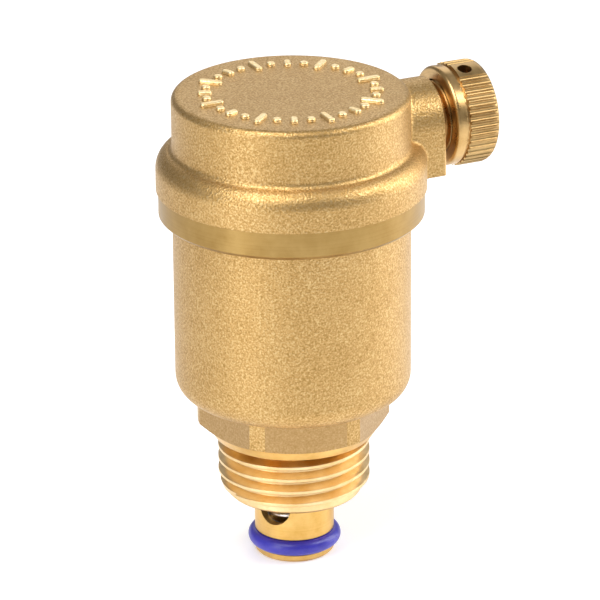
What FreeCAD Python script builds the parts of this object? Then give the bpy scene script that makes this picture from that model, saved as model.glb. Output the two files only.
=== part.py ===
import FreeCAD, Part
import math
import os

# Automatic air vent with a screwed-on shut-off valve, in millimetres.
# +Z runs up the vent's axis and +X along the discharge boss. The origin is on the axis, in the plane of
# the sealing shoulder where the inlet thread meets the hexagon.

V = FreeCAD.Vector
ORIGIN = V(0, 0, 0)
X_AXIS = V(1, 0, 0)
Y_AXIS = V(0, 1, 0)
Z_AXIS = V(0, 0, 1)

# Float housing
body_r = 16.19
body_bottom_z = 5.91
body_bottom_round = 3.0
housing_wall = 1.99
chamber_r = body_r - housing_wall
housing_floor = 3.19
chamber_floor_z = body_bottom_z + housing_floor
chamber_floor_round = 2.0
rim_step = 0.19
rim_r = body_r - rim_step
housing_height = 25.91
neck_length = 4.31
neck_r = 8.33
neck_end_z = body_bottom_z - neck_length
mouth_bevel = 0.5

# Cover: skirt band, flange, dome and lid
band_proud = 1.87
band_r = body_r + band_proud
band_bottom_z = body_bottom_z + housing_height
band_bevel = 0.5
band_gap = 0.2
flange_proud = 2.16
flange_r = body_r + flange_proud
band_height = 3.92
flange_bottom_z = band_bottom_z + band_height
rim_rise = 2.26
rim_top_z = flange_bottom_z + rim_rise
flange_height = 5.67
shoulder_z = flange_bottom_z + flange_height
shoulder_round = 2.8
seal_thickness = 1.2
shoulder_inner_z = rim_top_z + seal_thickness
dome_inset = 0.08
dome_r = body_r - dome_inset
dome_wall = 2.21
dome_inner_r = dome_r - dome_wall
dome_height = 7.67
lid_top_z = shoulder_z + dome_height
lid_edge_round = 1.0
lid_wall = 2.4
forging_round = 0.8
inner_round = 1.2
seal_width = 1.4

# Relief ring on the lid: plain radial bars and pips
relief_inset = 4.56
relief_r = dome_r - relief_inset
relief_count = 32
relief_height = 0.42
relief_bar_length = 3.3
relief_short_length = 1.9
relief_bar_width = 0.95
relief_corner_r = 0.42
relief_pip_r = 0.6
relief_crown = 0.22
relief_sink = 0.3

# Discharge boss and its threaded spout
discharge_rise = 0.88
discharge_z = shoulder_z + discharge_rise
boss_r = 5.75
boss_length = 4.49
boss_end_x = dome_r + boss_length
boss_edge_round = 0.35
spout_r = 5.0
spout_pitch = 1.0
spout_thread_depth = 0.61
spout_crest = 0.2
spout_length = 4.7
spout_end_x = boss_end_x + spout_length
spout_wall = 1.55
spout_bore_r = spout_r - spout_wall
spout_sink = 1.35
spout_thread_turns = 4.0
spout_thread_gap = 0.35
seat_face_step = 0.1
seat_face_x = dome_inner_r - seat_face_step
seat_face_edge = 0.05
seat_face_r = boss_r - seat_face_edge
nozzle_wall = 2.4
nozzle_shoulder_x = seat_face_x + nozzle_wall

# Discharge nozzle, its seal, locknut and the lever bracket
nozzle_shank_r = 2.5
nozzle_hole_clearance = 0.05
nozzle_head_clearance = 0.15
nozzle_head_r = spout_bore_r - nozzle_head_clearance
nozzle_head_length = 2.0
nozzle_seal_thickness = 0.5
nozzle_nose = 0.6
nozzle_tip_r = 1.6
jet_r = 0.8
hex_key_flats = 3.0
hex_key_depth = 1.5
locknut_wall = 1.5
locknut_flats = 2 * (nozzle_shank_r + locknut_wall)
locknut_corner = 0.45
locknut_corner_r = locknut_flats / 2 + locknut_corner
locknut_thickness = 1.4
bracket_sheet = 0.6
bracket_side_gap = 0.3
bracket_inner_half = locknut_flats / 2 + bracket_side_gap
bracket_plate_half_z = 2.6
bracket_ear_r = 2.0
bracket_stop_length = 0.8
bracket_stop_gap = 0.12
bracket_stop_clearance = 0.5

# Valve lever and its pin
pivot_reach = 4.6
pivot_x = seat_face_x - pivot_reach
pivot_drop = 4.09
pivot_z = discharge_z - pivot_drop
pivot_pin_r = 1.0
pivot_clearance = 0.06
pin_head_r = 1.8
pin_head_length = 0.6
pin_tail = 0.9
clip_r = 2.1
clip_thickness = 0.5
lever_swing_deg = 14.0
lever_sheet = 1.2
knuckle_r = 1.9
knuckle_side_gap = 0.2
arm_root_half = 2.6
arm_tip_half = 1.3
eye_r = 1.4
eye_clearance = 0.2
holder_r = 3.0
pad_r = 2.3
pad_thickness = 1.6
pad_pocket = 0.8
pad_closed_gap = 0.08
upright_half = 2.2

# Float and its link
float_side_gap = 1.3
float_r = chamber_r - float_side_gap
float_rest_gap = 1.5
float_bottom_z = chamber_floor_z + float_rest_gap
float_drop = 6.2
float_height = pivot_z - float_drop - float_bottom_z
float_wall = 0.8
float_round = 1.6
float_base_thickness = 1.2
float_boss_r = 3.7
float_boss_height = 1.6
link_wire_r = 0.6
link_half_span = 2.3
link_bend_r = 0.9
link_grip = 1.5

# Discharge cap and its washer
cap_washer_thickness = 1.6
cap_end_wall = 1.39
cap_end_x = spout_end_x + cap_washer_thickness + cap_end_wall
cap_bore_clearance = 0.15
cap_wall = 1.74
cap_collar_r = spout_r + cap_bore_clearance + cap_wall
cap_grip_length = 4.6
cap_knurl_x = cap_end_x - cap_grip_length
cap_collar_length = 1.96
cap_start_x = cap_knurl_x - cap_collar_length
cap_knurl_proud = 0.24
cap_knurl_r = cap_collar_r + cap_knurl_proud
cap_end_round = 1.15
cap_lip_round = 0.5
cap_groove_width = 0.45
cap_groove_depth = 0.3
flute_count = 45
flute_depth = 0.35
flute_cutter_r = 0.42
flute_hole_margin_deg = 12.0
bleed_hole_r = 1.0
bleed_hole_inset = 3.14
bleed_hole_x = cap_end_x - bleed_hole_inset
bleed_hole_deg = 105.0
cap_washer_clearance = 0.1

# Shut-off valve body: hexagon, shoulder and G 1/2 inlet thread
hex_flats = 24.0
hex_corner = 1.25
hex_corner_r = hex_flats / 2 + hex_corner
hex_clock_deg = 13.4
hex_bottom_z = 1.35
hex_corner_bevel = 0.65
collar_inset = 0.05
shoulder_collar_r = hex_flats / 2 - collar_inset
shoulder_face_r = 11.1
undercut_clearance = 0.2
undercut_depth = 0.3
inlet_r = 10.4775
inlet_pitch = 1.814
inlet_thread_depth = 1.162
inlet_crest = 0.4
flank_deg = 27.5
stem_length = 8.86
stem_chamfer = 0.3
lead_end_bevel = 0.9
lead_drop = 0.2
lead_turns = 0.5
thread_top_z = -0.68
thread_top_deg = 60.0
thread_turns = 4.125
crest_faces_per_turn = 8
ledge_rise = 1.9
ledge_z = ledge_rise - stem_length
stem_bore_r = 5.6
ledge_width = 1.4
stem_chamber_r = stem_bore_r + ledge_width
stem_seat_width = 1.3
stem_seat_r = stem_bore_r + stem_seat_width
body_seal_width = 1.87
body_seal_r = neck_r + body_seal_width
body_seal_thickness = 1.4
socket_floor_gap = 0.2

# Shut-off plunger, its O-ring and spring
plunger_clearance = 0.1
plunger_r = stem_bore_r - plunger_clearance
plunger_reach = 9.1
plunger_foot_z = -stem_length - plunger_reach
plunger_foot_height = 4.2
plunger_floor_z = plunger_foot_z + plunger_foot_height
plunger_wall = 1.1
plunger_bore_r = plunger_r - plunger_wall
plunger_flange_clearance = 0.3
plunger_flange_r = stem_chamber_r - plunger_flange_clearance
plunger_flange_thickness = 1.2
plunger_bevel = 0.3
port_r = 2.5
port_rise = 3.7
port_z = plunger_floor_z + port_rise
port_deg = 32.4
oring_rise = 2.16
oring_centre_z = plunger_foot_z + oring_rise
oring_inset = 0.16
oring_centre_r = plunger_r - oring_inset
oring_section_r = 1.1
oring_groove_play = 0.1
spring_wire_r = 0.3
spring_side_gap = 0.3
spring_mean_r = plunger_bore_r - spring_side_gap - spring_wire_r
spring_seat = 0.25
neck_bore_r = spring_mean_r - spring_wire_r - spring_seat
spring_turns = 10

# How far a ridge's section runs into its core and past its crest, and how far cutters overrun
ridge_sink = 0.15
ridge_proud = 0.1
overrun = 1.0

# How near two edges lie before they count as one
tiny = 1e-2

# Worked-out places
body_top_z = band_bottom_z - band_gap
lid_inner_z = lid_top_z - lid_wall
nozzle_tip_x = seat_face_x - bracket_sheet - locknut_thickness - nozzle_nose
pad_face_x = nozzle_tip_x - pad_closed_gap
holder_face_x = pad_face_x - pad_thickness + pad_pocket
holder_back_x = pad_face_x - pad_thickness - lever_sheet
half_swing_deg = lever_swing_deg / 2
arm_length = pivot_x / math.cos(math.radians(half_swing_deg))
link_pin_z = pivot_z - arm_length * math.sin(math.radians(half_swing_deg))
float_top_z = float_bottom_z + float_height
float_boss_top_z = float_top_z + float_boss_height
cap_bore_r = spout_r + cap_bore_clearance
cap_inner_x = cap_end_x - cap_end_wall


def export(shape, node):
    """Write one node, a solid or a group of solids, to its STEP file."""
    shape.exportStep(os.path.join("parts", node + ".step"))


def cylinder(radius, z_low, z_high):
    """A cylinder on the vent's axis."""
    return Part.makeCylinder(radius, z_high - z_low, V(0, 0, z_low), Z_AXIS)


def cylinder_x(radius, x_low, x_high):
    """A cylinder on the discharge axis."""
    return Part.makeCylinder(radius, x_high - x_low, V(x_low, 0, discharge_z), X_AXIS)


def cylinder_y(radius, y_low, y_high, x, z):
    """A cylinder across the vent, through x, z."""
    return Part.makeCylinder(radius, y_high - y_low, V(x, y_low, z), Y_AXIS)


def box(x, y, z):
    """A box between the limits that each pair gives."""
    return Part.makeBox(x[1] - x[0], y[1] - y[0], z[1] - z[0], V(x[0], y[0], z[0]))


def turned(outline):
    """Turn an outline of (radius, height) points about Z."""
    points = [V(radius, 0, z) for radius, z in outline]
    face = Part.Face(Part.makePolygon(points + points[:1]))
    return face.revolve(ORIGIN, Z_AXIS, 360)


def onto_discharge_axis(shape):
    """Lay a shape made about Z along +X, on the discharge axis. Its height becomes x."""
    shape = shape.copy()
    shape.rotate(ORIGIN, Y_AXIS, 90)
    shape.translate(V(0, 0, discharge_z))
    return shape


def ring_edges(shape, radius, z):
    """The circular edges about Z with this radius at this height."""
    found = []
    for edge in shape.Edges:
        curve = edge.Curve
        if isinstance(curve, Part.Circle):
            if abs(curve.Radius - radius) < 1e-4 and abs(curve.Center.z - z) < 1e-4:
                found.append(edge)
    return found


def rounded(shape, radius, z, size):
    """Round the circular edge at this radius and height."""
    return shape.makeFillet(size, ring_edges(shape, radius, z))


def bevelled(shape, radius, z, size):
    """Chamfer the circular edge at this radius and height."""
    return shape.makeChamfer(size, ring_edges(shape, radius, z))


def hexagon(flats, corner_r, z_low, z_high, clock_deg):
    """A hexagonal bar about Z, its corners turned down to corner_r, one flat facing clock_deg."""
    reach = flats / math.sqrt(3)
    points = []
    for corner in range(6):
        angle = math.radians(clock_deg + 30 + 60 * corner)
        points.append(V(reach * math.cos(angle), reach * math.sin(angle), z_low))
    face = Part.Face(Part.makePolygon(points + points[:1]))
    bar = face.extrude(V(0, 0, z_high - z_low))
    return bar.common(cylinder(corner_r, z_low, z_high))


def sectored_cylinder(radius, z_low, z_high, start_deg, sectors):
    """A cylinder whose wall is split into equal upright faces."""
    step = 2 * math.pi / sectors
    start = math.radians(start_deg)

    def rim_point(turn):
        angle = start + turn * step
        return V(radius * math.cos(angle), radius * math.sin(angle), z_low)

    arcs = []
    for sector in range(sectors):
        arc = Part.Arc(rim_point(sector), rim_point(sector + 0.5), rim_point(sector + 1))
        arcs.append(arc.toShape())
    return Part.Face(Part.Wire(arcs)).extrude(V(0, 0, z_high - z_low))


def helix_path(pitch, turns, radius):
    """A right-hand helix about Z that starts on +X at z = 0, wound one turn at a time."""
    edges = []
    for turn in range(math.ceil(turns)):
        piece = Part.makeHelix(pitch, pitch * min(1, turns - turn), radius)
        piece.translate(V(0, 0, pitch * turn))
        edges += piece.Edges
    return Part.Wire(edges)


def thread_ridge(root_r, crest_r, pitch, crest, turns, z_low, start_deg):
    """A right-hand ridge that climbs from z_low at start_deg, its section standing past crest_r.

    The part of it inside a cylinder of crest_r is the thread.
    """
    slope = math.tan(math.radians(flank_deg))
    base_r = root_r - ridge_sink
    tip_r = crest_r + ridge_proud
    crest_half = crest / 2
    base_half = crest_half + (crest_r - base_r) * slope
    tip_half = crest_half - ridge_proud * slope
    section = Part.makePolygon([
        V(base_r, 0, -base_half),
        V(tip_r, 0, -tip_half),
        V(tip_r, 0, tip_half),
        V(base_r, 0, base_half),
        V(base_r, 0, -base_half),
    ])
    ridge = helix_path(pitch, turns, root_r).makePipeShell([section], True, True)
    ridge.rotate(ORIGIN, Z_AXIS, start_deg)
    ridge.translate(V(0, 0, z_low))
    return ridge


def lower_housing():
    """Float housing: rounded cup with a screwed rim under the cover, and a hole in its floor for the neck."""
    cup = rounded(cylinder(body_r, body_bottom_z, body_top_z), body_r, body_bottom_z, body_bottom_round)
    rim = bevelled(cylinder(rim_r, body_top_z, rim_top_z), rim_r, rim_top_z, band_bevel)
    chamber = cylinder(chamber_r, chamber_floor_z, rim_top_z)
    chamber = rounded(chamber, chamber_r, chamber_floor_z, chamber_floor_round)
    neck_seat = cylinder(neck_r, body_bottom_z, chamber_floor_z)
    return cup.fuse(rim).cut(chamber).cut(neck_seat)


def housing_neck():
    """The housing's screwed neck, from the chamber's floor down into the shut-off valve, bored."""
    neck = cylinder(neck_r, neck_end_z, chamber_floor_z)
    bore = cylinder(neck_bore_r, neck_end_z, chamber_floor_z)
    mouth = turned([
        (0, chamber_floor_z),
        (neck_bore_r + mouth_bevel, chamber_floor_z),
        (neck_bore_r, chamber_floor_z - mouth_bevel),
        (0, chamber_floor_z - mouth_bevel),
    ])
    return neck.cut(bore).cut(mouth)


def relief_marks():
    """The raised ring on the lid: long bar, pip, short bar and pip in turn, all with rounded tops."""
    low = lid_top_z - relief_sink
    top_z = lid_top_z + relief_height
    height = top_z - low
    marks = []
    for place in range(relief_count):
        kind = place % 4
        if kind % 2:
            pip = Part.makeCylinder(relief_pip_r, height, V(0, 0, low), Z_AXIS)
            mark = rounded(pip, relief_pip_r, top_z, relief_crown)
        else:
            length = relief_bar_length if kind == 0 else relief_short_length
            bar = Part.makeBox(length, relief_bar_width, height, V(-length / 2, -relief_bar_width / 2, low))
            upright = [edge for edge in bar.Edges if abs(edge.tangentAt(edge.FirstParameter).z) > 0.9]
            bar = bar.makeFillet(relief_corner_r, upright)
            top_edges = [edge for edge in bar.Edges if edge.BoundBox.ZMin > top_z - tiny]
            mark = bar.makeFillet(relief_crown, top_edges)
        mark.translate(V(relief_r, 0, 0))
        mark.rotate(ORIGIN, Z_AXIS, place * 360 / relief_count)
        marks.append(mark)
    return marks


def boss_block():
    """The discharge boss with the web under it: an arch-shaped bar, its foot level with the flange's."""
    side = boss_r
    arch = Part.Arc(V(0, side, discharge_z), V(0, 0, discharge_z + side), V(0, -side, discharge_z)).toShape()
    foot = Part.makePolygon([
        V(0, -side, discharge_z),
        V(0, -side, flange_bottom_z),
        V(0, side, flange_bottom_z),
        V(0, side, discharge_z),
    ])
    bar = Part.Face(Part.Wire([arch] + foot.Edges)).extrude(V(boss_end_x, 0, 0))
    end_edges = []
    for edge in bar.Edges:
        centre = edge.BoundBox.Center
        if abs(edge.BoundBox.XMin - boss_end_x) < 1e-4 and centre.z > flange_bottom_z + 1:
            end_edges.append(edge)
    return bar.makeFillet(boss_edge_round, end_edges)


def spout():
    """The threaded spout that the cap screws on, a fine thread on a short neck."""
    root_r = spout_r - spout_thread_depth
    core = cylinder(root_r, boss_end_x - spout_sink, spout_end_x)
    start_x = boss_end_x + spout_thread_gap
    ridge = thread_ridge(root_r, spout_r, spout_pitch, spout_crest, spout_thread_turns, start_x, 0)
    ridge = ridge.common(cylinder(spout_r, boss_end_x, spout_end_x))
    return onto_discharge_axis(core.fuse(ridge))


def forged_shell():
    """Flange, dome, boss and web as one solid forging, with its inner corners rounded."""
    flange = rounded(cylinder(flange_r, flange_bottom_z, shoulder_z), flange_r, shoulder_z, shoulder_round)
    dome = rounded(cylinder(dome_r, flange_bottom_z, lid_top_z), dome_r, lid_top_z, lid_edge_round)
    inside_round = max(0, dome_r - flange_r + shoulder_round)
    meeting_z = shoulder_z - shoulder_round + math.sqrt(shoulder_round ** 2 - inside_round ** 2)
    shell = rounded(flange.fuse(dome).removeSplitter(), dome_r, meeting_z, forging_round)
    shell = shell.fuse(boss_block()).removeSplitter()
    corners = []
    for edge in shell.Edges:
        span = edge.BoundBox
        beside_boss = max(-span.YMin, span.YMax) < boss_r + tiny
        before_rim = 0 < span.XMin and span.XMax < flange_r - tiny
        up_the_dome = flange_bottom_z + tiny < span.ZMin and span.ZMax < discharge_z + boss_r + tiny
        if beside_boss and before_rim and up_the_dome:
            corners.append(edge)
    return shell.makeFillet(forging_round, corners)


def cover():
    """Cover forging: turned skirt band, blasted flange, dome, boss and web, bored for housing and nozzle."""
    band = bevelled(cylinder(band_r, band_bottom_z, flange_bottom_z), band_r, band_bottom_z, band_bevel)
    shell = band.fuse(forged_shell())
    skirt_bore = cylinder(rim_r, band_bottom_z, shoulder_inner_z)
    dome_bore = cylinder(dome_inner_r, shoulder_inner_z, lid_inner_z)
    dome_bore = rounded(dome_bore, dome_inner_r, lid_inner_z, inner_round)
    shell = shell.cut(skirt_bore.fuse(dome_bore))
    shell = shell.fuse(spout())
    shell = shell.cut(cylinder_x(seat_face_r, 0, seat_face_x))
    shell = shell.cut(cylinder_x(nozzle_shank_r + nozzle_hole_clearance, 0, nozzle_shoulder_x))
    shell = shell.cut(cylinder_x(spout_bore_r, nozzle_shoulder_x, spout_end_x))
    return shell.fuse(relief_marks())


def cover_seal():
    """Flat ring between the housing's rim and the cover's inner shoulder."""
    outer_r = rim_r - band_bevel
    ring = cylinder(outer_r, rim_top_z, shoulder_inner_z)
    return ring.cut(cylinder(outer_r - seal_width, rim_top_z, shoulder_inner_z))


def outlet_nozzle():
    """Jet screwed in through the spout: head with a key socket, shank and a pointed seat inside the dome."""
    head_start = nozzle_shoulder_x + nozzle_seal_thickness
    head_end = head_start + nozzle_head_length
    body = turned([
        (0, nozzle_tip_x),
        (nozzle_tip_r, nozzle_tip_x),
        (nozzle_shank_r, nozzle_tip_x + nozzle_nose),
        (nozzle_shank_r, head_start),
        (nozzle_head_r, head_start),
        (nozzle_head_r, head_end),
        (0, head_end),
    ])
    socket = hexagon(hex_key_flats, hex_key_flats, head_end - hex_key_depth, head_end, 0)
    body = body.cut(cylinder(jet_r, nozzle_tip_x, head_end)).cut(socket)
    return onto_discharge_axis(body)


def nozzle_seal():
    """Soft washer under the nozzle's head."""
    start = nozzle_shoulder_x
    ring = cylinder_x(nozzle_head_r, start, start + nozzle_seal_thickness)
    return ring.cut(cylinder_x(nozzle_shank_r, start, start + nozzle_seal_thickness))


def nozzle_locknut():
    """Thin nut that clamps the bracket to the dome's inner face."""
    start = seat_face_x - bracket_sheet - locknut_thickness
    nut = hexagon(locknut_flats, locknut_corner_r, start, start + locknut_thickness, 90)
    return onto_discharge_axis(nut.cut(cylinder(nozzle_shank_r, start, start + locknut_thickness)))


def bracket_stop():
    """The bent tab between the bracket's ears that the lever's arm comes down on."""
    middle_x = pivot_x - knuckle_r - bracket_stop_clearance - bracket_stop_length / 2
    reach = pivot_x - middle_x + bracket_stop_length / 2
    drop = reach * math.tan(math.radians(half_swing_deg))
    arm_under = lever_sheet / 2 / math.cos(math.radians(half_swing_deg))
    top_z = pivot_z - drop - arm_under - bracket_stop_gap
    x = (middle_x - bracket_stop_length / 2, middle_x + bracket_stop_length / 2)
    return box(x, (-bracket_inner_half, bracket_inner_half), (top_z - bracket_sheet, top_z))


def lever_bracket():
    """Sheet bracket: a plate behind the locknut and two ears that carry the lever's pin."""
    outer_half = bracket_inner_half + bracket_sheet
    plate_x = (seat_face_x - bracket_sheet, seat_face_x)
    plate_z = (discharge_z - bracket_plate_half_z, discharge_z + bracket_plate_half_z)
    plate = box(plate_x, (-outer_half, outer_half), plate_z)
    stop = bracket_stop()
    pieces = [plate, stop]
    stop_low = stop.BoundBox.ZMin
    stop_far = stop.BoundBox.XMin
    for side in (-outer_half, bracket_inner_half):
        outline = Part.makePolygon([
            V(plate_x[0], side, plate_z[0]),
            V(plate_x[0], side, plate_z[1]),
            V(pivot_x, side, pivot_z + bracket_ear_r),
            V(stop_far, side, pivot_z),
            V(stop_far, side, stop_low),
            V(pivot_x, side, stop_low),
            V(plate_x[0], side, plate_z[0]),
        ])
        ear = Part.Face(outline).extrude(V(0, bracket_sheet, 0))
        boss = cylinder_y(bracket_ear_r, side, side + bracket_sheet, pivot_x, pivot_z)
        pieces += [ear, boss]
    bracket = pieces[0].fuse(pieces[1:]).removeSplitter()
    bracket = bracket.cut(cylinder_x(nozzle_shank_r, 0, seat_face_x))
    return bracket.cut(cylinder_y(pivot_pin_r, -outer_half, outer_half, pivot_x, pivot_z))


def lever_pivot_pin():
    """Pin across the bracket's ears, with a flat head."""
    outer_half = bracket_inner_half + bracket_sheet
    shank = cylinder_y(pivot_pin_r, -outer_half, outer_half + pin_tail, pivot_x, pivot_z)
    head = cylinder_y(pin_head_r, -outer_half - pin_head_length, -outer_half, pivot_x, pivot_z)
    return shank.fuse(head)


def pivot_pin_clip():
    """Push-on clip that keeps the pin in the bracket."""
    start = bracket_inner_half + bracket_sheet
    clip = cylinder_y(clip_r, start, start + clip_thickness, pivot_x, pivot_z)
    return clip.cut(cylinder_y(pivot_pin_r, start, start + clip_thickness, pivot_x, pivot_z))


def swung_open(shape):
    """Turn a shape drawn with the valve closed down to its open place, where the float hangs."""
    shape = shape.copy()
    shape.rotate(V(pivot_x, 0, pivot_z), Y_AXIS, -lever_swing_deg)
    return shape


def lever_arm():
    """The float arm: a tapered strip from the knuckle to the eye over the float."""
    low = pivot_z - lever_sheet / 2
    tip_x = pivot_x - arm_length
    outline = Part.makePolygon([
        V(pivot_x, -arm_root_half, low),
        V(pivot_x, arm_root_half, low),
        V(tip_x, arm_tip_half, low),
        V(tip_x, -arm_tip_half, low),
        V(pivot_x, -arm_root_half, low),
    ])
    strip = Part.Face(outline).extrude(V(0, 0, lever_sheet))
    eye = cylinder_y(eye_r, -arm_tip_half, arm_tip_half, tip_x, pivot_z)
    hole = cylinder_y(link_wire_r + eye_clearance, -arm_root_half, arm_root_half, tip_x, pivot_z)
    arm = strip.fuse(eye).cut(hole)
    arm.rotate(V(pivot_x, 0, pivot_z), Y_AXIS, half_swing_deg)
    return arm


def valve_lever():
    """Lever between float and valve pad: knuckle, arm, upright and the pad's round holder."""
    knuckle_half = bracket_inner_half - knuckle_side_gap
    knuckle = cylinder_y(knuckle_r, -knuckle_half, knuckle_half, pivot_x, pivot_z)
    upright = box((holder_back_x, holder_back_x + lever_sheet), (-upright_half, upright_half),
                  (pivot_z, discharge_z))
    holder = cylinder_x(holder_r, holder_back_x, holder_face_x)
    pocket = cylinder_x(pad_r, holder_face_x - pad_pocket, holder_face_x)
    lever = knuckle.fuse([upright, holder, lever_arm()]).removeSplitter()
    lever = lever.cut(pocket)
    pin_hole = cylinder_y(pivot_pin_r + pivot_clearance, -knuckle_half, knuckle_half, pivot_x, pivot_z)
    return swung_open(lever.cut(pin_hole))


def valve_pad():
    """Rubber disc in the holder, which closes the nozzle's tip."""
    return swung_open(cylinder_x(pad_r, pad_face_x - pad_thickness, pad_face_x))


def float_shell():
    """Moulded float: a closed drum open below, with a boss on top for the link."""
    drum = rounded(cylinder(float_r, float_bottom_z, float_top_z), float_r, float_top_z, float_round)
    hollow = cylinder(float_r - float_wall, float_bottom_z, float_top_z - float_wall)
    hollow = rounded(hollow, float_r - float_wall, float_top_z - float_wall, float_round - float_wall / 2)
    boss = cylinder(float_boss_r, float_top_z - float_wall / 2, float_boss_top_z)
    shell = drum.cut(hollow).fuse(boss)
    for side in (-link_half_span, link_half_span):
        hole = Part.makeCylinder(link_wire_r, link_grip, V(0, side, float_boss_top_z - link_grip), Z_AXIS)
        shell = shell.cut(hole)
    return shell


def float_base():
    """Disc welded into the float's open end."""
    return cylinder(float_r - float_wall, float_bottom_z, float_bottom_z + float_base_thickness)


def float_link():
    """Wire stirrup from the float's boss through the lever's eye."""
    low = float_boss_top_z - link_grip
    bend = link_bend_r
    span = link_half_span
    turn_in = bend * (1 - math.sqrt(0.5))

    def point(y, z):
        return V(0, y, z)

    corners = []
    for side in (-1, 1):
        start = point(side * span, link_pin_z - bend)
        middle = point(side * (span - turn_in), link_pin_z - turn_in)
        end = point(side * (span - bend), link_pin_z)
        corners.append((start, middle, end))
    (left_start, left_middle, left_end), (right_start, right_middle, right_end) = corners
    path = Part.Wire([
        Part.LineSegment(point(-span, low), left_start).toShape(),
        Part.Arc(left_start, left_middle, left_end).toShape(),
        Part.LineSegment(left_end, right_end).toShape(),
        Part.Arc(right_end, right_middle, right_start).toShape(),
        Part.LineSegment(right_start, point(span, low)).toShape(),
    ])
    section = Part.Wire([Part.makeCircle(link_wire_r, point(-span, low), Z_AXIS)])
    return path.makePipeShell([section], True, True)


def cap_blank():
    """The cap's turned shape about Z, before its flutes: collar, groove, rounded knurled end and bore."""
    collar = cylinder(cap_collar_r, cap_start_x, cap_knurl_x - cap_groove_width)
    collar = rounded(collar, cap_collar_r, cap_start_x, cap_lip_round)
    groove = cylinder(cap_collar_r - cap_groove_depth, cap_knurl_x - cap_groove_width, cap_knurl_x)
    grip = cylinder(cap_knurl_r, cap_knurl_x, cap_end_x)
    return collar, groove, rounded(grip, cap_knurl_r, cap_end_x, cap_end_round)


def cap_flutes():
    """Cutters for the straight flutes round the grip, left out beside the bleed hole."""
    cutters = []
    at_r = cap_knurl_r - flute_depth + flute_cutter_r
    start = V(at_r, 0, cap_knurl_x - overrun)
    length = cap_end_x - cap_knurl_x + 2 * overrun
    for place in range(flute_count):
        angle = place * 360 / flute_count + bleed_hole_deg
        apart = abs((angle - bleed_hole_deg + 180) % 360 - 180)
        if apart < flute_hole_margin_deg:
            continue
        cutter = Part.makeCylinder(flute_cutter_r, length, start, Z_AXIS)
        cutter.rotate(ORIGIN, Z_AXIS, angle + 90)
        cutters.append(cutter)
    return Part.Compound(cutters)


def outlet_cap():
    """Knurled cap over the spout, with a bleed hole through its side."""
    collar, groove, grip = cap_blank()
    grip = grip.cut(cap_flutes())
    cap = collar.fuse([groove, grip]).cut(cylinder(cap_bore_r, cap_start_x, cap_inner_x))
    bleed = Part.makeCylinder(bleed_hole_r, cap_knurl_r + overrun, V(0, 0, bleed_hole_x), X_AXIS)
    bleed.rotate(ORIGIN, Z_AXIS, bleed_hole_deg + 90)
    return onto_discharge_axis(cap.cut(bleed))


def cap_washer():
    """Rubber disc in the bottom of the cap, which closes the spout's mouth."""
    return cylinder_x(cap_bore_r - cap_washer_clearance, spout_end_x, cap_inner_x)


def inlet_thread():
    """The G 1/2 thread: full ridge with a truncated crest, then a lead-in that tapers to the stem's end."""
    root_r = inlet_r - inlet_thread_depth
    low_z = thread_top_z - inlet_pitch * thread_turns
    low_deg = thread_top_deg - 360 * thread_turns
    full_turns = thread_turns - lead_turns
    full_z = low_z + inlet_pitch * lead_turns
    full_deg = low_deg + 360 * lead_turns
    full = thread_ridge(root_r, inlet_r, inlet_pitch, inlet_crest, full_turns, full_z, full_deg)
    barrel = sectored_cylinder(inlet_r, -stem_length, undercut_depth, thread_top_deg, crest_faces_per_turn)
    lead = thread_ridge(root_r, inlet_r, inlet_pitch, inlet_crest, lead_turns, low_z, low_deg)
    taper_top_z = full_z + inlet_crest
    taper = turned([
        (0, taper_top_z + inlet_pitch),
        (inlet_r - lead_drop, taper_top_z + inlet_pitch),
        (inlet_r - lead_drop, taper_top_z),
        (inlet_r - lead_end_bevel, -stem_length),
        (0, -stem_length),
    ])
    return [full.common(barrel), lead.common(taper)]


def shutoff_body():
    """Shut-off valve body: hexagon with blasted corners, sealing shoulder and threaded stem, bored."""
    hexagonal = hexagon(hex_flats, hex_corner_r, hex_bottom_z, body_bottom_z, hex_clock_deg)
    envelope = turned([
        (0, hex_bottom_z),
        (shoulder_collar_r, hex_bottom_z),
        (hex_corner_r, hex_bottom_z + hex_corner_bevel),
        (hex_corner_r, body_bottom_z),
        (0, body_bottom_z),
    ])
    collar = turned([
        (0, 0),
        (shoulder_face_r, 0),
        (shoulder_collar_r, hex_bottom_z),
        (0, hex_bottom_z),
    ])
    root_r = inlet_r - inlet_thread_depth
    stem = bevelled(cylinder(root_r, -stem_length, undercut_depth), root_r, -stem_length, stem_chamfer)
    undercut = cylinder(inlet_r + undercut_clearance, 0, undercut_depth)
    body = hexagonal.common(envelope).fuse(collar).cut(undercut).fuse(stem)
    body = body.fuse(inlet_thread())
    bores = [
        cylinder(neck_r, neck_end_z - socket_floor_gap, body_bottom_z),
        cylinder(body_seal_r, body_bottom_z - body_seal_thickness, body_bottom_z),
        cylinder(stem_chamber_r, ledge_z, neck_end_z),
        cylinder(stem_bore_r, -stem_length, ledge_z),
        turned([
            (0, -stem_length),
            (stem_seat_r, -stem_length),
            (stem_bore_r, -stem_length + stem_seat_r - stem_bore_r),
            (0, -stem_length + stem_seat_r - stem_bore_r),
        ]),
    ]
    return body.cut(bores[0].fuse(bores[1:]))


def body_seal():
    """Flat ring round the housing's neck, in the top of the hexagon."""
    low = body_bottom_z - body_seal_thickness
    return cylinder(body_seal_r, low, body_bottom_z).cut(cylinder(neck_r, low, body_bottom_z))


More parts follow.
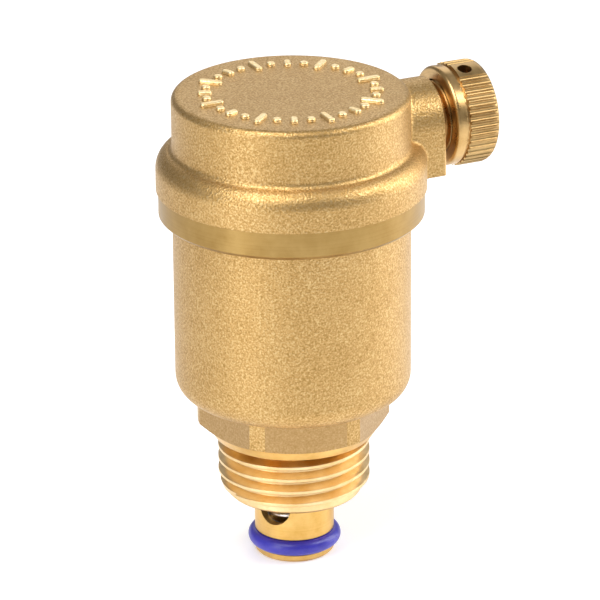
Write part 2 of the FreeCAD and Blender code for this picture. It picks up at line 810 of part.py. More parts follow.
def shutoff_plunger():
    """Hollow plunger: foot with an O-ring groove, cross port and a flange that rests on the stem's ledge."""
    flange_top_z = ledge_z + plunger_flange_thickness
    tube = bevelled(cylinder(plunger_r, plunger_foot_z, ledge_z), plunger_r, plunger_foot_z, plunger_bevel)
    flange = cylinder(plunger_flange_r, ledge_z, flange_top_z)
    bore = cylinder(plunger_bore_r, plunger_floor_z, flange_top_z)
    groove_half = oring_section_r + oring_groove_play
    groove_low = oring_centre_z - groove_half
    groove_high = oring_centre_z + groove_half
    groove = cylinder(plunger_r + overrun, groove_low, groove_high)
    groove = groove.cut(cylinder(oring_centre_r - oring_section_r, groove_low, groove_high))
    reach = plunger_r + overrun
    port = Part.makeCylinder(port_r, 2 * reach, V(-reach, 0, port_z), X_AXIS)
    port.rotate(ORIGIN, Z_AXIS, port_deg)
    return tube.fuse(flange).cut(bore).cut(groove).cut(port)


def plunger_oring():
    """Blue O-ring at the plunger's foot."""
    return Part.makeTorus(oring_centre_r, oring_section_r, V(0, 0, oring_centre_z), Z_AXIS)


def shutoff_spring():
    """Compression spring inside the plunger, from its floor to the housing's neck."""
    low = plunger_floor_z + spring_wire_r
    height = neck_end_z - spring_wire_r - low
    path = helix_path(height / spring_turns, spring_turns, spring_mean_r)
    section = Part.Wire([Part.makeCircle(spring_wire_r, V(spring_mean_r, 0, 0), Y_AXIS)])
    spring = path.makePipeShell([section], True, True)
    spring.translate(V(0, 0, low))
    return spring


NODES = {
    "lower_housing": lower_housing,
    "housing_neck": housing_neck,
    "cover": cover,
    "cover_seal": cover_seal,
    "outlet_nozzle": outlet_nozzle,
    "nozzle_seal": nozzle_seal,
    "nozzle_locknut": nozzle_locknut,
    "lever_bracket": lever_bracket,
    "lever_pivot_pin": lever_pivot_pin,
    "pivot_pin_clip": pivot_pin_clip,
    "valve_lever": valve_lever,
    "valve_pad": valve_pad,
    "float_shell": float_shell,
    "float_base": float_base,
    "float_link": float_link,
    "outlet_cap": outlet_cap,
    "cap_washer": cap_washer,
    "shutoff_body": shutoff_body,
    "body_seal": body_seal,
    "shutoff_plunger": shutoff_plunger,
    "plunger_oring": plunger_oring,
    "shutoff_spring": shutoff_spring,
}

os.makedirs("parts", exist_ok=True)
for node, make in NODES.items():
    solid = make()
    print(f"{node}: {len(solid.Solids)} solid, {solid.Volume:.1f} mm3, valid {solid.isValid()}")
    export(solid, node)
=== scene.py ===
"""Studio scene of a brass automatic air vent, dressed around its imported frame."""
import logging
import math
from dataclasses import dataclass, field
from enum import Enum
from typing import Any, Callable, Mapping, Sequence

import bpy
from mathutils import Euler, Matrix, Vector


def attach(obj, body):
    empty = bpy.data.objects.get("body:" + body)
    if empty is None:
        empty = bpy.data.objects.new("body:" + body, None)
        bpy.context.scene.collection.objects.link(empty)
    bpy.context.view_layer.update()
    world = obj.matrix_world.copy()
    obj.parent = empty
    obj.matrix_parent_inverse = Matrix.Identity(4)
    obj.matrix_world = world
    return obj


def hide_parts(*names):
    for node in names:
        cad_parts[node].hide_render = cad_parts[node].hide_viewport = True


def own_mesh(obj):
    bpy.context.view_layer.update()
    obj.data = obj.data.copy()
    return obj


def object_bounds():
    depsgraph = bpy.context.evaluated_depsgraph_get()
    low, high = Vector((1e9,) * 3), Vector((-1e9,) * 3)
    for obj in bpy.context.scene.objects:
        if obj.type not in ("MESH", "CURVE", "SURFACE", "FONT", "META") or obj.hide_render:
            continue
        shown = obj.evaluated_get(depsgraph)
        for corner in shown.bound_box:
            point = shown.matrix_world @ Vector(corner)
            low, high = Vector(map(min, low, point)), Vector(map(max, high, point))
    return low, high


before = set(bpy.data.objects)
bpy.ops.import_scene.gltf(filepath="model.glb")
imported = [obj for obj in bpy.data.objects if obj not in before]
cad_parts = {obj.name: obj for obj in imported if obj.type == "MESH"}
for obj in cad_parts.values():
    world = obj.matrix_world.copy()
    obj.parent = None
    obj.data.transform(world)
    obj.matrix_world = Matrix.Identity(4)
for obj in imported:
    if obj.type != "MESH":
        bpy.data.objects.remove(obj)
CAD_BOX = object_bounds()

MM = 0.001
LOG = logging.getLogger("air_vent")

Colour = tuple[float, float, float, float]
ZoneRule = Callable[[Vector, Vector], int]


def linear(hex_code: str) -> Colour:
    """Turn an sRGB hex colour to linear light.

    Args:
        hex_code: Six hex digits after a hash sign.

    Returns:
        Red, green, blue and an alpha of one.
    """
    channels = [int(hex_code[place:place + 2], 16) / 255 for place in (1, 3, 5)]
    light = [c / 12.92 if c <= 0.04045 else ((c + 0.055) / 1.055) ** 2.4 for c in channels]
    return light[0], light[1], light[2], 1.0


def per_mm(size_mm: float) -> float:
    """The texture scale, in features per metre, of a feature this many millimetres across."""
    return 1 / (size_mm * MM)


def add_node(tree: bpy.types.NodeTree, kind: str, settings: Mapping[str, Any] | None = None,
             inputs: Mapping[str | int, Any] | None = None,
             stops: Sequence[tuple[float, str]] = ()) -> bpy.types.Node:
    """Add one shader node with its settings, values and links.

    Args:
        tree: The node tree that takes the node.
        kind: Blender's name of the node type.
        settings: Attributes of the node.
        inputs: Input sockets by name or number, each given a value or the output socket that feeds it.
        stops: The node's colour stops, if it has any: places from 0 to 1, each with its hex colour.

    Returns:
        The new node.
    """
    node = tree.nodes.new(kind)
    for name, value in (settings or {}).items():
        setattr(node, name, value)
    for socket, value in (inputs or {}).items():
        if isinstance(value, bpy.types.NodeSocket):
            tree.links.new(value, node.inputs[socket])
        else:
            node.inputs[socket].default_value = value
    for number, (place, colour) in enumerate(stops):
        points = node.color_ramp.elements
        point = points[number] if number < len(points) else points.new(1.0)
        point.position = place
        point.color = linear(colour)
    return node


class Spin(Enum):
    """The axis that a piece was turned about in the lathe: its direction and a point on it, in metres."""

    UPRIGHT = ((0.0, 0.0, 1.0), (0.0, 0.0, 0.0))
    DISCHARGE = ((1.0, 0.0, 0.0), (0.0, 0.0, 42.29 * MM))


@dataclass(frozen=True)
class Finish:
    """A real material with the finish that its making leaves.

    Attributes:
        name: What the material is and how it was made.
        roughness: How matt it is, from 0 to 1.
    """

    name: str
    roughness: float

    def lay(self, tree: bpy.types.NodeTree, shader: bpy.types.Node, place: bpy.types.NodeSocket) -> None:
        """Add the finish's own nodes.

        Args:
            tree: The material's node tree.
            shader: Its surface shader.
            place: The point on the piece, in metres, that moves with the piece.
        """
        raise NotImplementedError

    def material(self) -> bpy.types.Material:
        """Build the material, or find it if it is already built.

        Returns:
            The material.
        """
        known = bpy.data.materials.get(self.name)
        if known is not None:
            return known
        made = bpy.data.materials.new(self.name)
        made.use_nodes = True
        tree = made.node_tree
        shader = tree.nodes["Principled BSDF"]
        shader.inputs["Roughness"].default_value = self.roughness
        place = add_node(tree, "ShaderNodeTexCoord").outputs["Object"]
        self.lay(tree, shader, place)
        return made


@dataclass(frozen=True)
class BlastedBrass(Finish):
    """Hot-forged CW617N brass, shot-blasted: a golden skin of tiny dents that glitter in a soft light.

    Attributes:
        tones: Hex colours of the pits, the skin and the peaks, which follow the dent height: painted shade in
            the pits and painted highlight on the peaks.
        grain_mm: Width of one dent.
        dent_mm: Depth of one dent.
        edge_mm: Radius that the blast leaves on sharp edges.
        film: Strength of the clear passivation film, which whitens the highlights.
        mottle_mm: Width of the slow patches of tone that handling leaves.
    """

    tones: tuple[str, str, str] = ("#A38147", "#C19C63", "#D7BB85")
    grain_mm: float = 0.26
    dent_mm: float = 0.055
    edge_mm: float = 0.18
    film: float = 0.12
    mottle_mm: float = 7.0

    def lay(self, tree: bpy.types.NodeTree, shader: bpy.types.Node, place: bpy.types.NodeSocket) -> None:
        """Add the dents, their glitter, painted shade in the pits and painted highlight on the peaks, and a
        slow mottle.
        """
        grain = add_node(tree, "ShaderNodeTexNoise", inputs={
            "Vector": place, "Scale": per_mm(self.grain_mm), "Detail": 2.0, "Roughness": 0.6}).outputs["Fac"]
        facets = add_node(tree, "ShaderNodeTexVoronoi", inputs={
            "Vector": place, "Scale": per_mm(self.grain_mm * 1.3), "Randomness": 1.0}).outputs["Distance"]
        mottle = add_node(tree, "ShaderNodeTexNoise", inputs={
            "Vector": place, "Scale": per_mm(self.mottle_mm), "Detail": 3.0,
            "Roughness": 0.55}).outputs["Fac"]
        mixed = add_node(tree, "ShaderNodeMath", {"operation": "MULTIPLY_ADD"}, {
            0: mottle, 1: 0.16, 2: -0.08}).outputs[0]
        tone = add_node(tree, "ShaderNodeMath", {"operation": "ADD"}, {0: grain, 1: mixed}).outputs[0]
        # The colour follows the same grain noise as the dent height: painted shade in the pits, painted
        # highlight on the peaks.
        low, middle, high = self.tones
        colour = add_node(tree, "ShaderNodeValToRGB", inputs={"Fac": tone}, stops=[
            (0.30, low), (0.52, middle), (0.74, high)]).outputs["Color"]
        tree.links.new(colour, shader.inputs["Base Color"])
        shine = add_node(tree, "ShaderNodeMapRange", inputs={
            "Value": grain, "From Min": 0.3, "From Max": 0.7,
            "To Min": self.roughness + 0.08, "To Max": self.roughness - 0.1}).outputs["Result"]
        tree.links.new(shine, shader.inputs["Roughness"])
        height = add_node(tree, "ShaderNodeMath", {"operation": "MULTIPLY_ADD"}, {
            0: facets, 1: 0.5, 2: grain}).outputs[0]
        edge = add_node(tree, "ShaderNodeBevel", {"samples": 4}, {
            "Radius": self.edge_mm * MM}).outputs["Normal"]
        dents = add_node(tree, "ShaderNodeBump", inputs={
            "Strength": 1.0, "Distance": self.dent_mm * MM, "Height": height, "Normal": edge})
        tree.links.new(dents.outputs["Normal"], shader.inputs["Normal"])
        shader.inputs["Metallic"].default_value = 1.0
        shader.inputs["Coat Weight"].default_value = self.film
        shader.inputs["Coat Roughness"].default_value = self.roughness


@dataclass(frozen=True)
class TurnedBrass(Finish):
    """CW614N brass bar, turned or bored: fine rings about the lathe's axis and a satin streak of light.

    Attributes:
        spin: The axis that it was turned about.
        tones: Hex colours of the rings' valleys and ridges.
        ring_mm: Spacing of the tool marks. The real ones are near 0.1 mm and are drawn coarser, to show.
        ring_depth_mm: Depth of the tool marks.
        edge_mm: Radius of a deburred edge.
        smudge_mm: Width of a handling smudge.
    """

    spin: Spin = Spin.UPRIGHT
    tones: tuple[str, str] = ("#C79A4C", "#E4BC74")
    ring_mm: float = 0.22
    ring_depth_mm: float = 0.006
    edge_mm: float = 0.12
    smudge_mm: float = 3.5

    def lay(self, tree: bpy.types.NodeTree, shader: bpy.types.Node, place: bpy.types.NodeSocket) -> None:
        """Add the rings, some handling smudges and the deburred edges."""
        axis, centre = self.spin.value
        across = tuple(1.0 - part for part in axis)
        offset = add_node(tree, "ShaderNodeVectorMath", {"operation": "SUBTRACT"}, {
            0: place, 1: centre}).outputs["Vector"]
        along = add_node(tree, "ShaderNodeVectorMath", {"operation": "DOT_PRODUCT"}, {
            0: offset, 1: axis}).outputs["Value"]
        spoke = add_node(tree, "ShaderNodeVectorMath", {"operation": "MULTIPLY"}, {
            0: offset, 1: across}).outputs["Vector"]
        radius = add_node(tree, "ShaderNodeVectorMath", {"operation": "LENGTH"}, {0: spoke}).outputs["Value"]
        ring_place = add_node(tree, "ShaderNodeCombineXYZ", inputs={
            "X": along, "Y": radius}).outputs["Vector"]
        rings = add_node(tree, "ShaderNodeTexNoise", inputs={
            "Vector": ring_place, "Scale": per_mm(self.ring_mm), "Detail": 3.0,
            "Roughness": 0.7}).outputs["Fac"]
        smudge = add_node(tree, "ShaderNodeTexNoise", inputs={
            "Vector": place, "Scale": per_mm(self.smudge_mm), "Detail": 4.0, "Roughness": 0.6}).outputs["Fac"]
        tone = add_node(tree, "ShaderNodeMath", {"operation": "MULTIPLY_ADD"}, {
            0: rings, 1: 0.35, 2: smudge}).outputs[0]
        colour = add_node(tree, "ShaderNodeValToRGB", inputs={"Fac": tone}, stops=[
            (0.45, self.tones[0]), (0.85, self.tones[1])]).outputs["Color"]
        tree.links.new(colour, shader.inputs["Base Color"])
        shine = add_node(tree, "ShaderNodeMapRange", inputs={
            "Value": smudge, "From Min": 0.3, "From Max": 0.7,
            "To Min": self.roughness - 0.04, "To Max": self.roughness + 0.08}).outputs["Result"]
        tree.links.new(shine, shader.inputs["Roughness"])
        edge = add_node(tree, "ShaderNodeBevel", {"samples": 4}, {
            "Radius": self.edge_mm * MM}).outputs["Normal"]
        marks = add_node(tree, "ShaderNodeBump", inputs={
            "Strength": 1.0, "Distance": self.ring_depth_mm * MM, "Height": rings, "Normal": edge})
        tree.links.new(marks.outputs["Normal"], shader.inputs["Normal"])
        shader.inputs["Metallic"].default_value = 1.0


@dataclass(frozen=True)
class DrawnSteel(Finish):
    """Stainless steel sheet or wire, rolled or drawn: a cool grey satin with faint streaks.

    Attributes:
        tones: Hex colours of the streaks.
        streak_mm: Width of a streak. The real ones are near 0.05 mm and are drawn coarser, to show.
        streak_depth_mm: Depth of a streak.
    """

    tones: tuple[str, str] = ("#8E8F90", "#BEBFBE")
    streak_mm: float = 0.25
    streak_depth_mm: float = 0.004

    def lay(self, tree: bpy.types.NodeTree, shader: bpy.types.Node, place: bpy.types.NodeSocket) -> None:
        """Add the streaks along the rolling direction."""
        stretched = add_node(tree, "ShaderNodeVectorMath", {"operation": "MULTIPLY"}, {
            0: place, 1: (1.0, 0.12, 1.0)}).outputs["Vector"]
        streaks = add_node(tree, "ShaderNodeTexNoise", inputs={
            "Vector": stretched, "Scale": per_mm(self.streak_mm), "Detail": 3.0}).outputs["Fac"]
        colour = add_node(tree, "ShaderNodeValToRGB", inputs={"Fac": streaks}, stops=[
            (0.3, self.tones[0]), (0.7, self.tones[1])]).outputs["Color"]
        tree.links.new(colour, shader.inputs["Base Color"])
        bump = add_node(tree, "ShaderNodeBump", inputs={
            "Strength": 0.5, "Distance": self.streak_depth_mm * MM, "Height": streaks})
        tree.links.new(bump.outputs["Normal"], shader.inputs["Normal"])
        shader.inputs["Metallic"].default_value = 1.0


@dataclass(frozen=True)
class MouldedPolymer(Finish):
    """A rubber, fibre or plastic from a mould or press: an even colour with a soft grain and no metal.

    Attributes:
        tones: Hex colours of the grain's hollows and peaks.
        grain_mm: Width of the grain.
        grain_depth_mm: Depth of the grain.
        ior: Index of refraction.
        coat: Strength of a clear slick on the surface, such as grease on a seal.
        glow: Strength of the light that comes through it.
        patch_mm: Width of the slow changes of tone.
    """

    tones: tuple[str, str] = ("#2B2B2B", "#383838")
    grain_mm: float = 0.3
    grain_depth_mm: float = 0.01
    ior: float = 1.5
    coat: float = 0.0
    glow: float = 0.0
    patch_mm: float = 4.0

    def lay(self, tree: bpy.types.NodeTree, shader: bpy.types.Node, place: bpy.types.NodeSocket) -> None:
        """Add the grain and a slow change of tone."""
        grain = add_node(tree, "ShaderNodeTexNoise", inputs={
            "Vector": place, "Scale": per_mm(self.grain_mm), "Detail": 3.0}).outputs["Fac"]
        slow = add_node(tree, "ShaderNodeTexNoise", inputs={
            "Vector": place, "Scale": per_mm(self.patch_mm), "Detail": 2.0}).outputs["Fac"]
        tone = add_node(tree, "ShaderNodeMath", {"operation": "MULTIPLY_ADD"}, {
            0: grain, 1: 0.4, 2: slow}).outputs[0]
        colour = add_node(tree, "ShaderNodeValToRGB", inputs={"Fac": tone}, stops=[
            (0.5, self.tones[0]), (0.9, self.tones[1])]).outputs["Color"]
        tree.links.new(colour, shader.inputs["Base Color"])
        bump = add_node(tree, "ShaderNodeBump", inputs={
            "Strength": 0.6, "Distance": self.grain_depth_mm * MM, "Height": grain})
        tree.links.new(bump.outputs["Normal"], shader.inputs["Normal"])
        shader.inputs["IOR"].default_value = self.ior
        shader.inputs["Emission Color"].default_value = linear(self.tones[1])
        shader.inputs["Emission Strength"].default_value = self.glow
        shader.inputs["Coat Weight"].default_value = self.coat
        shader.inputs["Coat Roughness"].default_value = 0.2


BLASTED = BlastedBrass("shot_blasted_brass_forging", 0.46)
BURNISHED = BlastedBrass("brass_relief_rubbed_bright", 0.42, ("#F0CE8E", "#FCE2AA", "#FFF1CC"), dent_mm=0.03)
HEX_CORNER = BlastedBrass("blasted_brass_bar_corner", 0.46, dent_mm=0.045)
MILLED = BlastedBrass("milled_brass_flat", 0.38, ("#A58451", "#B08E5E", "#BD9F70"), dent_mm=0.012,
                      edge_mm=0.1)
BAND = TurnedBrass("turned_brass_band", 0.34, tones=("#967743", "#AC8D56"))
TURNED = TurnedBrass("turned_brass_bar", 0.30)
BORED = TurnedBrass("bored_brass", 0.36, tones=("#B88A44", "#D6AC66"))
THREAD = TurnedBrass("cut_brass_thread", 0.32, tones=("#DDB677", "#F3D7A6"), ring_mm=0.12)
CROSS_TURNED = TurnedBrass("cross_turned_brass", 0.28, Spin.DISCHARGE, ("#B08C56", "#D6B27A"))
# The fluted grip's tones are darker than the cap's turned brass: painted shade in the flutes.
KNURLED = TurnedBrass("fluted_brass_grip", 0.34, Spin.DISCHARGE, ("#A58350", "#C5A570"), ring_mm=0.3,
                      ring_depth_mm=0.012, edge_mm=0.08)
STAMPED = TurnedBrass("stamped_brass_lever", 0.32, Spin.DISCHARGE, ("#C79A4C", "#E0B86F"))
STEEL = DrawnSteel("rolled_stainless_sheet", 0.3)
# The spring wire's tones are raised near white, brighter than the steel sheet: painted light, as little lamp
# light reaches it inside the plunger.
SPRING = DrawnSteel("drawn_spring_wire", 0.3, ("#D2D3D4", "#F2F2F2"))
BLACK_RUBBER = MouldedPolymer("moulded_black_epdm", 0.6, ("#18181A", "#26262A"))
BLUE_RUBBER = MouldedPolymer("moulded_blue_sealing_ring", 0.36, ("#2F2B9E", "#3E39B4"), 0.5, 0.006, 1.47,
                             0.15)
FIBRE = MouldedPolymer("pressed_red_fibre", 0.7, ("#5A2318", "#7A3322"), 0.25, 0.03)
LIGHT_TABLE = MouldedPolymer("backlit_opal_acrylic", 0.5, ("#FAFAFA", "#FCFCFC"), 2.0, 0.001, 1.49, glow=0.26)
FLOAT_PLASTIC = MouldedPolymer("moulded_white_polypropylene", 0.42, ("#DAD6C8", "#EBE8DC"), 0.8, 0.008, 1.49)


def dress(node: str, *finishes: Finish, rule: ZoneRule | None = None) -> None:
    """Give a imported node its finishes.

    Args:
        node: The node's name.
        finishes: One finish, or several that the rule chooses from.
        rule: Says which finish a face takes, from its middle in millimetres and its normal.
    """
    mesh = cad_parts[node].data
    mesh.materials.clear()
    for finish in finishes:
        mesh.materials.append(finish.material())
    for face in mesh.polygons:
        face.material_index = rule(face.center / MM, face.normal) if rule else 0
    LOG.info("dressed %s with %s", node, ", ".join(finish.name for finish in finishes))


def mesh_piece(name: str, points: Sequence[Vector], faces: Sequence[Sequence[int]], finish: Finish
               ) -> bpy.types.Object:
    """Make a smooth mesh object.

    Args:
        name: The piece's name.
        points: Its vertices in metres.
        faces: Its faces as vertex numbers.
        finish: Its finish.

    Returns:
        The new object, linked to the scene.
    """
    mesh = bpy.data.meshes.new(name)
    mesh.from_pydata(points, [], faces)
    mesh.materials.append(finish.material())
    mesh.polygons.foreach_set("use_smooth", [True] * len(mesh.polygons))
    piece = bpy.data.objects.new(name, mesh)
    bpy.context.scene.collection.objects.link(piece)
    return piece


def distance_from_axis(point: Vector) -> float:
    """How far a point stands from the vent's upright axis."""
    return math.hypot(point.x, point.y)


@dataclass
class Housing:
    """The float housing, a blasted cup with a bored chamber."""

    chamber_r: float = 14.2
    bottom_z: float = 5.91
    rim_low_z: float = 31.62
    margin: float = 0.06

    def zone(self, middle: Vector, normal: Vector) -> int:
        """Blasted outside, bored inside, turned at the rim.

        Args:
            middle: The face's middle in millimetres.
            normal: Its normal.

        Returns:
            0 for blasted, 1 for bored and 2 for turned.
        """
        radius = distance_from_axis(middle)
        if middle.z > self.rim_low_z - self.margin and radius > self.chamber_r + self.margin:
            return 2
        inside = radius < self.chamber_r + self.margin and middle.z > self.bottom_z + self.margin
        pointing_in = normal.x * middle.x + normal.y * middle.y < 0 or normal.z > 0.5
        return 1 if inside and pointing_in else 0

    def build(self) -> None:
        """Dress the housing and its neck."""
        dress("lower_housing", BLASTED, BORED, TURNED, rule=self.zone)
        dress("housing_neck", TURNED)


@dataclass
class Cover:
    """The cover forging: blasted, with a turned skirt, boss face and spout, and a relief on its lid."""

    flange_low_z: float = 35.74
    skirt_bore_top_z: float = 39.74
    lid_top_z: float = 49.08
    skirt_bore_r: float = 16.0
    dome_bore_r: float = 13.9
    lid_inner_z: float = 46.68
    boss_end_x: float = 20.6
    boss_edge: float = 0.35
    bore_half: float = 5.75
    discharge_z: float = 42.29
    margin: float = 0.04

    def zone(self, middle: Vector, normal: Vector) -> int:
        """Which finish a face of the cover has.

        Args:
            middle: The face's middle in millimetres.
            normal: Its normal.

        Returns:
            0 blasted, 1 skirt band, 2 bored, 3 turned across, 4 relief.
        """
        radius = distance_from_axis(middle)
        if middle.x > self.boss_end_x - self.boss_edge + self.margin:
            return 3
        if middle.z > self.lid_top_z + self.margin:
            return 4
        bore_distance = math.hypot(middle.y, middle.z - self.discharge_z)
        bore_inward = normal.y * middle.y + normal.z * (middle.z - self.discharge_z) < -self.margin
        if middle.x > self.dome_bore_r / 2 and bore_distance < self.bore_half - self.margin and bore_inward:
            return 2
        inner_r = self.skirt_bore_r if middle.z < self.skirt_bore_top_z else self.dome_bore_r
        if radius < inner_r + self.margin and middle.z < self.lid_inner_z + self.margin:
            return 2
        return 1 if middle.z < self.flange_low_z + self.margin else 0

    def build(self) -> None:
        """Dress the cover and the ring that seals it."""
        dress("cover", BLASTED, BAND, BORED, CROSS_TURNED, BURNISHED, rule=self.zone)
        dress("cover_seal", BLACK_RUBBER)


@dataclass
class Discharge:
    """The nozzle inside the boss, and the fluted cap on the spout."""

    grip_start_x: float = 23.69
    grip_end_x: float = 28.29
    grip_inner_r: float = 6.3
    discharge_z: float = 42.29
    margin: float = 0.03

    def zone(self, middle: Vector, normal: Vector) -> int:
        """Fluted on the grip's side, in darker tones that are painted shade in the flutes; turned on the
        collar, the end and inside.

        Args:
            middle: The face's middle in millimetres.
            normal: Its normal.

        Returns:
            0 for turned and 1 for fluted.
        """
        radius = math.hypot(middle.y, middle.z - self.discharge_z)
        on_grip = self.grip_start_x - self.margin < middle.x < self.grip_end_x - self.margin
        return 1 if on_grip and radius > self.grip_inner_r else 0

    def build(self) -> None:
        """Dress the cap, its washer and the nozzle."""
        dress("outlet_cap", CROSS_TURNED, KNURLED, rule=self.zone)
        dress("cap_washer", BLACK_RUBBER)
        dress("outlet_nozzle", CROSS_TURNED)
        dress("nozzle_seal", FIBRE)
        dress("nozzle_locknut", CROSS_TURNED)


@dataclass
class FloatValve:
    """The float, its link, the lever on its bracket and the valve pad, all inside the housing."""

    finishes: dict[str, Finish] = field(default_factory=lambda: {
        "lever_bracket": STEEL,
        "lever_pivot_pin": STEEL,
        "pivot_pin_clip": SPRING,
        "valve_lever": STAMPED,
        "valve_pad": BLACK_RUBBER,
        "float_shell": FLOAT_PLASTIC,
        "float_base": FLOAT_PLASTIC,
        "float_link": STEEL,
    })

    def build(self) -> None:
        """Dress every piece of the float valve."""
        for node, finish in self.finishes.items():
            dress(node, finish)


@dataclass
class ShutOffValve:
    """The shut-off valve: hexagon and threaded stem, plunger with its sealing ring, and the spring."""

    bottom_z: float = 1.35
    top_z: float = 5.91
    clock_deg: float = 13.4
    collar_r: float = 11.95
    thread_top_z: float = -0.3
    thread_root_r: float = 9.3
    spring_low_z: float = -13.46
    spring_high_z: float = 1.3
    spring_fixed_z: float = 1.6
    spring_mean_r: float = 3.8
    spring_wire_r: float = 0.3
    spring_turns: float = 10.0
    closed_turns: float = 0.85
    steps_per_turn: int = 40
    wire_sides: int = 12
    plunger_travel: float = 6.9
    margin: float = 0.03

    def zone(self, middle: Vector, normal: Vector) -> int:
        """Which finish a face of the valve body has.

        Args:
            middle: The face's middle in millimetres.
            normal: Its normal.

        Returns:
            0 milled flat, 1 blasted corner, 2 turned, 3 thread.
        """
        radius = distance_from_axis(middle)
        if self.bottom_z + self.margin < middle.z < self.top_z - self.margin and radius > self.collar_r:
            if abs(normal.z) > 0.1:
                return 2
            bearing = math.degrees(math.atan2(normal.y, normal.x)) - self.clock_deg
            off_flat = abs((bearing + 30) % 60 - 30)
            return 0 if off_flat < 1.0 else 1
        if middle.z < self.thread_top_z and radius > self.thread_root_r - self.margin:
            return 3
        return 2

    def spring(self) -> bpy.types.Object:
        """Wind the spring as round wire, its end turns closed against their seats.

        Returns:
            The spring.
        """
        steps = int(self.spring_turns * self.steps_per_turn)
        closed = self.closed_turns / self.spring_turns
        wire = 2 * self.spring_wire_r * self.closed_turns
        height = self.spring_high_z - self.spring_low_z
        points, faces = [], []
        for step in range(steps + 1):
            share = step / steps
            if share < closed:
                z = share / closed * wire
            elif share > 1 - closed:
                z = height - (1 - share) / closed * wire
            else:
                z = wire + (share - closed) / (1 - 2 * closed) * (height - 2 * wire)
            angle = share * self.spring_turns * math.tau
            for side in range(self.wire_sides):
                around = side / self.wire_sides * math.tau
                reach = self.spring_mean_r + self.spring_wire_r * math.cos(around)
                up = self.spring_low_z + z + self.spring_wire_r * math.sin(around)
                points.append(Vector((reach * math.cos(angle), reach * math.sin(angle), up)) * MM)
        for step in range(steps):
            low, high = step * self.wire_sides, (step + 1) * self.wire_sides
            for side in range(self.wire_sides):
                after = (side + 1) % self.wire_sides
                faces.append((low + side, high + side, high + after, low + after))
        faces.append(tuple(range(self.wire_sides)))
        faces.append(tuple(reversed(range(steps * self.wire_sides, (steps + 1) * self.wire_sides))))
        piece = mesh_piece("shutoff_spring_wire", points, faces, SPRING)
        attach(piece, "root")
        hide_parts("shutoff_spring")
        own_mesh(piece)
        LOG.info("wound %s, %d turns", piece.name, self.spring_turns)
        return piece

    def build(self) -> None:
        """Dress the valve body, its seal and the plunger, and wind the spring."""
        dress("shutoff_body", MILLED, HEX_CORNER, TURNED, THREAD, rule=self.zone)
        dress("body_seal", FIBRE)
        dress("shutoff_plunger", TURNED)
        dress("plunger_oring", BLUE_RUBBER)
        self.spring()


@dataclass
class Softbox:
    """A soft studio light aimed at the vent.

    Attributes:
        name: What the light does.
        bearing_deg: Its direction from the vent, counted from +X towards +Y.
        height_deg: How high it stands over the vent.
        distance: Metres from the vent.
        size: Its width and height in metres.
        watts: Its power.
    """

    name: str
    bearing_deg: float
    height_deg: float
    distance: float
    size: tuple[float, float]
    watts: float

    def build(self, aim: Vector) -> None:
        """Hang the light.

        Args:
            aim: The point that it faces.
        """
        bearing, height = math.radians(self.bearing_deg), math.radians(self.height_deg)
        flat = math.cos(height)
        away = Vector((flat * math.cos(bearing), flat * math.sin(bearing), math.sin(height)))
        data = bpy.data.lights.new(self.name, "AREA")
        data.shape = "RECTANGLE"
        data.size, data.size_y = self.size
        data.energy = self.watts
        lamp = bpy.data.objects.new(self.name, data)
        facing = away.to_track_quat("Z", "Y").to_matrix().to_4x4()
        lamp.matrix_world = Matrix.Translation(aim + away * self.distance) @ facing
        bpy.context.scene.collection.objects.link(lamp)
        LOG.info("hung %s", self.name)


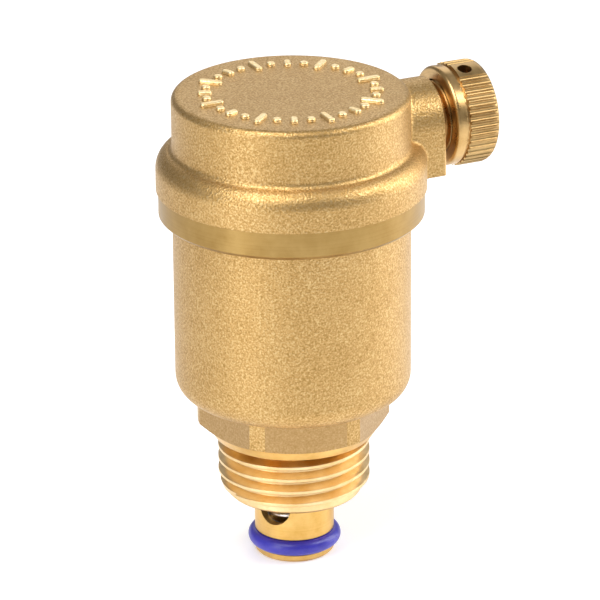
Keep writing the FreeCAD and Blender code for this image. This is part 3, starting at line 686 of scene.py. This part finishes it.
@dataclass
class Studio:
    """The backlit white floor, the lights and the camera."""

    azimuth_deg: float = -24.63
    pitch_deg: float = 22.003
    roll_deg: float = -0.503
    stand_off: float = 0.56116
    camera_height: float = 0.2458
    lens_mm: float = 266.0
    shift_x: float = 0.0125
    floor_half: float = 3.0
    room_colour: str = "#F4F5F7"
    room_light: float = 0.31
    softboxes: tuple[Softbox, ...] = (
        Softbox("overhead_softbox", -150.0, 60.0, 0.5, (0.3, 0.3), 1.7),
        Softbox("left_strip", -158.0, 14.0, 0.45, (0.14, 0.3), 0.6),
        Softbox("right_softbox", -8.0, 20.0, 0.42, (0.26, 0.34), 1.15),
        Softbox("back_softbox", 65.0, 32.0, 0.6, (0.5, 0.3), 0.6),
        Softbox("boss_softbox", -40.0, 44.0, 0.42, (0.14, 0.14), 0.5),
    )

    def camera(self) -> None:
        """Set up the camera."""
        data = bpy.data.cameras.new("camera")
        data.lens = self.lens_mm
        data.shift_x = self.shift_x
        data.clip_start = 0.01
        camera = bpy.data.objects.new("camera", data)
        azimuth = math.radians(self.azimuth_deg)
        turn = Euler((math.radians(90 - self.pitch_deg), 0, azimuth)).to_matrix().to_4x4()
        place = Vector((math.sin(azimuth), -math.cos(azimuth), 0)) * self.stand_off
        place.z = self.camera_height
        roll = Matrix.Rotation(math.radians(self.roll_deg), 4, "Z")
        camera.matrix_world = Matrix.Translation(place) @ turn @ roll
        bpy.context.scene.collection.objects.link(camera)
        bpy.context.scene.camera = camera

    def floor(self, level: float) -> None:
        """Lay the floor.

        Args:
            level: Its height in metres.
        """
        half = self.floor_half
        signs = ((-1, -1), (1, -1), (1, 1), (-1, 1))
        corners = [Vector((x * half, y * half, level)) for x, y in signs]
        floor = mesh_piece("studio_floor", corners, [(0, 1, 2, 3)], LIGHT_TABLE)

    def build(self, level: float, aim: Vector) -> None:
        """Set up the whole studio.

        Args:
            level: The floor's height in metres.
            aim: The point that the lights face.
        """
        scene = bpy.context.scene
        world = bpy.data.worlds.new("studio_room")
        world.use_nodes = True
        background = world.node_tree.nodes["Background"]
        background.inputs["Color"].default_value = linear(self.room_colour)
        background.inputs["Strength"].default_value = self.room_light
        scene.world = world
        scene.view_settings.view_transform = "Standard"
        self.camera()
        self.floor(level)
        for softbox in self.softboxes:
            softbox.build(aim)


def main() -> None:
    """Build the vent's sub-assemblies in order, then the studio."""
    logging.basicConfig(level=logging.INFO, format="%(message)s")
    for assembly in (Housing(), Cover(), Discharge(), FloatValve(), ShutOffValve()):
        assembly.build()
    low, high = (Vector(corner) for corner in CAD_BOX)
    Studio().build(low.z, (low + high) / 2)


if __name__ == "__main__":
    main()
